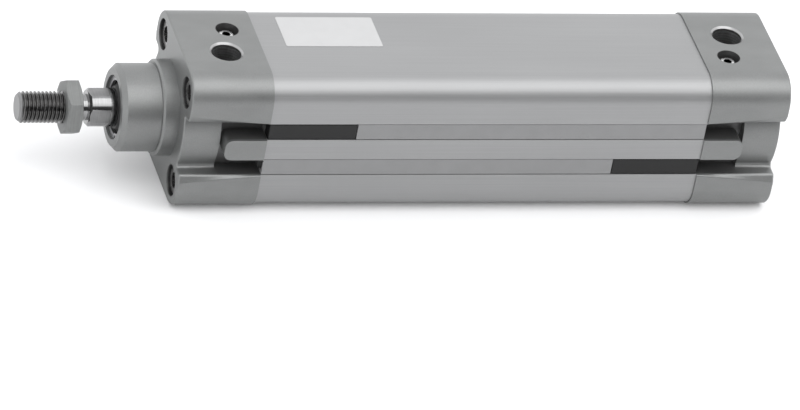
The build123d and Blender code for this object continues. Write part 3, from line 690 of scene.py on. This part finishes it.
def on_flat(spot, way):
    """Whether a face lies on one of the two wrench flats."""
    return flats_start < spot.x < flats_end and abs(spot.dot(way) - half_across_flats) < 0.01


rod.data.materials.clear()
rod.data.materials.append(finishes["chromed_rod"])
paint(rod, "milled_flat", on_flat)
paint(thread, "milled_flat", lambda spot, way: spot.x < tip_face)
paint(thread, "chromed_rod", lambda spot, way: spot.x > neck_start)

# %% [markdown]
# One rod
# A turned shaft is smooth round its axis and sharp at its shoulders. A modifier could tell the two
# apart, but marks on the edges stay in the plain mesh, so each edge is marked by the angle between
# its faces. Then the copy and the thread are joined into one piece, which stands for the CAD rod
# and moves with it.

# %% Smooth, join and replace
def smooth_by_angle(piece, degrees):
    """Smooth faces with sharp edges where the faces meet at more than the angle."""
    work = bmesh.new()
    work.from_mesh(piece.data)
    for face in work.faces:
        face.smooth = True
    for edge in work.edges:
        if len(edge.link_faces) == 2:
            edge.smooth = edge.calc_face_angle() < math.radians(degrees)
    work.to_mesh(piece.data)
    work.free()


def merged(name, *parts):
    """Joins pieces into the first one and keeps their materials."""
    with bpy.context.temp_override(active_object=parts[0], selected_editable_objects=list(parts)):
        bpy.ops.object.join()
    parts[0].name = name
    return parts[0]


smooth_by_angle(rod, 30)
smooth_by_angle(thread, 40)
rod = merged("threaded_piston_rod", rod, thread)
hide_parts("piston_rod")
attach(rod, "rod")
print("rod faces", len(rod.data.polygons))

# %% [markdown]
# Threads in the holes
# Inside a hole only the ridge shows. A thread could be cut into the wall with a Boolean, but that
# would make the whole cap anew, so the wall stays the CAD's and a ridge winds along it. A spiral
# curve gives the path and a four-cornered section swept along it gives the ridge, with closed
# ends. The section's foot sinks a little into the wall, so no gap shows. The mounting threads come
# four at a time, so their ridge is made once and put on the corners of a square.

# %% Geometry Nodes: a ridge in a hole, once or on four corners
def hole_thread(web, size):
    """A ridge wound round Z inside a hole, at each corner of a square of the given spacing."""
    turns = {"Rotations": size["Turns"], "Height": size["Turns"] * size["Pitch"]}
    turns.update({"Start Radius": size["Radius"], "End Radius": size["Radius"]})
    turns["Resolution"] = size["Steps per Turn"]
    path = web.node("GeometryNodeCurveSpiral", {}, turns)
    upright_path = web.node("GeometryNodeSetCurveNormal", {"mode": "Z_UP"}, {0: path})
    foot, crest = size["Pitch"] * 0.46, size["Pitch"] * 0.1
    sunk, proud = size["Depth"] * 0.2, size["Depth"] * -1
    points = ((sunk, foot * -1), (sunk, foot), (proud, crest), (proud, crest * -1))
    section = {}
    for number, (across, along) in enumerate(points, 1):
        point = web.node("ShaderNodeCombineXYZ", {}, {0: across, 1: along})
        section[f"Point {number}"] = point
    outline = web.node("GeometryNodeCurvePrimitiveQuadrilateral", {"mode": "POINTS"}, section)
    swept = {"Curve": upright_path, "Profile Curve": outline, "Fill Caps": True}
    ridge = web.node("GeometryNodeCurveToMesh", {}, swept)
    square = {"Size X": size["Spacing"], "Size Y": size["Spacing"]}
    square.update({"Vertices X": size["Holes per Side"], "Vertices Y": size["Holes per Side"]})
    corners = web.node("GeometryNodeMeshGrid", {}, square)
    return web.node("GeometryNodeInstanceOnPoints", {}, {"Points": corners, "Instance": ridge})


def outward(piece):
    """Merges doubles and turns all faces outwards."""
    work = bmesh.new()
    work.from_mesh(piece.data)
    bmesh.ops.remove_doubles(work, verts=work.verts, dist=0.001 * mm)
    bmesh.ops.recalc_face_normals(work, faces=work.faces)
    work.to_mesh(piece.data)
    work.free()


def thread_in(name, sizes, matrix, slot):
    """A thread in the barrel body: its sizes, its place and the slot that names its finish."""
    piece = turned_to(with_tree(name, hole_thread, sizes, finishes[slot]), matrix)
    outward(piece)
    smooth_by_angle(piece, 30)
    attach(piece, "barrel")


print("a thread can now be put in a hole with thread_in")

# %% [markdown]
# Port threads
# Each air port has a pipe thread with a fine pitch. It is cut after the casting, so it is the
# brightest metal on the cap. Both ports get the same ridge, and its place alone differs: they are
# a half turn apart.

# %% A thread in each air port
port_sizes = {
    "Radius": 4.7 * mm,
    "Pitch": 0.907 * mm,
    "Depth": 0.42 * mm,
    "Turns": 7.6,
    "Spacing": 0.0,
    "Steps per Turn": 40,
    "Holes per Side": 1,
}
thread_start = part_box("front_cap")[1].z - 8 * mm
for name, end in (("front_port_thread", -1), ("rear_port_thread", 1)):
    port_axis = ((middle + end * port_offset) * mm, end * port_aside * mm, thread_start)
    thread_in(name, port_sizes, Matrix.Translation(port_axis), "turned_aluminium")
print("port threads start at z =", round(thread_start / mm, 2), "mm")

# %% [markdown]
# Mounting threads
# The cap screws are hollow, and their inner threads hold what the cylinder is bolted to. Four of
# them sit on a square in each end face, and all four are one piece. Eight single pieces would do as
# well, but they never move apart. The ridges begin a little way in from the face.

# %% Four threads in each end face
mount_sizes = {
    "Radius": 2.55 * mm,
    "Pitch": 1.0 * mm,
    "Depth": 0.25 * mm,
    "Turns": 12.5,
    "Spacing": 2 * screw_offset * mm,
    "Steps per Turn": 40,
    "Holes per Side": 2,
}
back_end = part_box("rear_cap")[1].x
along_minus_x = Matrix.Rotation(math.radians(-90), 4, "Y")
front_square = Matrix.Translation((1.5 * mm, 0, 0)) @ along_x
rear_square = Matrix.Translation((back_end - 1.5 * mm, 0, 0)) @ along_minus_x
thread_in("front_mounting_threads", mount_sizes, front_square, "zinc_steel")
thread_in("rear_mounting_threads", mount_sizes, rear_square, "zinc_steel")
print("mounting threads on a square of", 2 * screw_offset, "mm")

# %% [markdown]
# The label
# A white film lies on top of the barrel. It is thin, but its edge catches light, so it is a real
# plate with rounded corners and not a patch of colour on the metal.

# %% Label plate
def rounded_plate(name, low, high, radius, bottom, thickness, finish):
    """A flat plate with rounded corners on the height bottom; all else is in millimetres."""
    corner_steps = 6
    points = []
    centres = [(high[0] - radius, high[1] - radius), (low[0] + radius, high[1] - radius)]
    centres += [(low[0] + radius, low[1] + radius), (high[0] - radius, low[1] + radius)]
    for quarter, (cx, cy) in enumerate(centres):
        for step in range(corner_steps + 1):
            angle = math.radians(90 * quarter + 90 / corner_steps * step)
            points.append((cx + radius * math.cos(angle), cy + radius * math.sin(angle)))
    work = bmesh.new()
    base = work.faces.new([work.verts.new((x * mm, y * mm, bottom)) for x, y in points])
    raised = bmesh.ops.extrude_face_region(work, geom=[base])
    moved = [v for v in raised["geom"] if isinstance(v, bmesh.types.BMVert)]
    bmesh.ops.translate(work, verts=moved, vec=(0, 0, thickness * mm))
    bmesh.ops.recalc_face_normals(work, faces=work.faces)
    mesh = bpy.data.meshes.new(name)
    work.to_mesh(mesh)
    work.free()
    mesh.materials.append(finish)
    made = bpy.data.objects.new(name, mesh)
    scene.collection.objects.link(made)
    return made


label_low, label_high = (34.4, -1.3), (65.5, 15.0)
barrel_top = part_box("barrel_profile")[1].z
film = finishes["label_film"]
label = rounded_plate("blank_label", label_low, label_high, 0.6, barrel_top, 0.08, film)
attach(label, "barrel")
print("label faces", len(label.data.polygons))
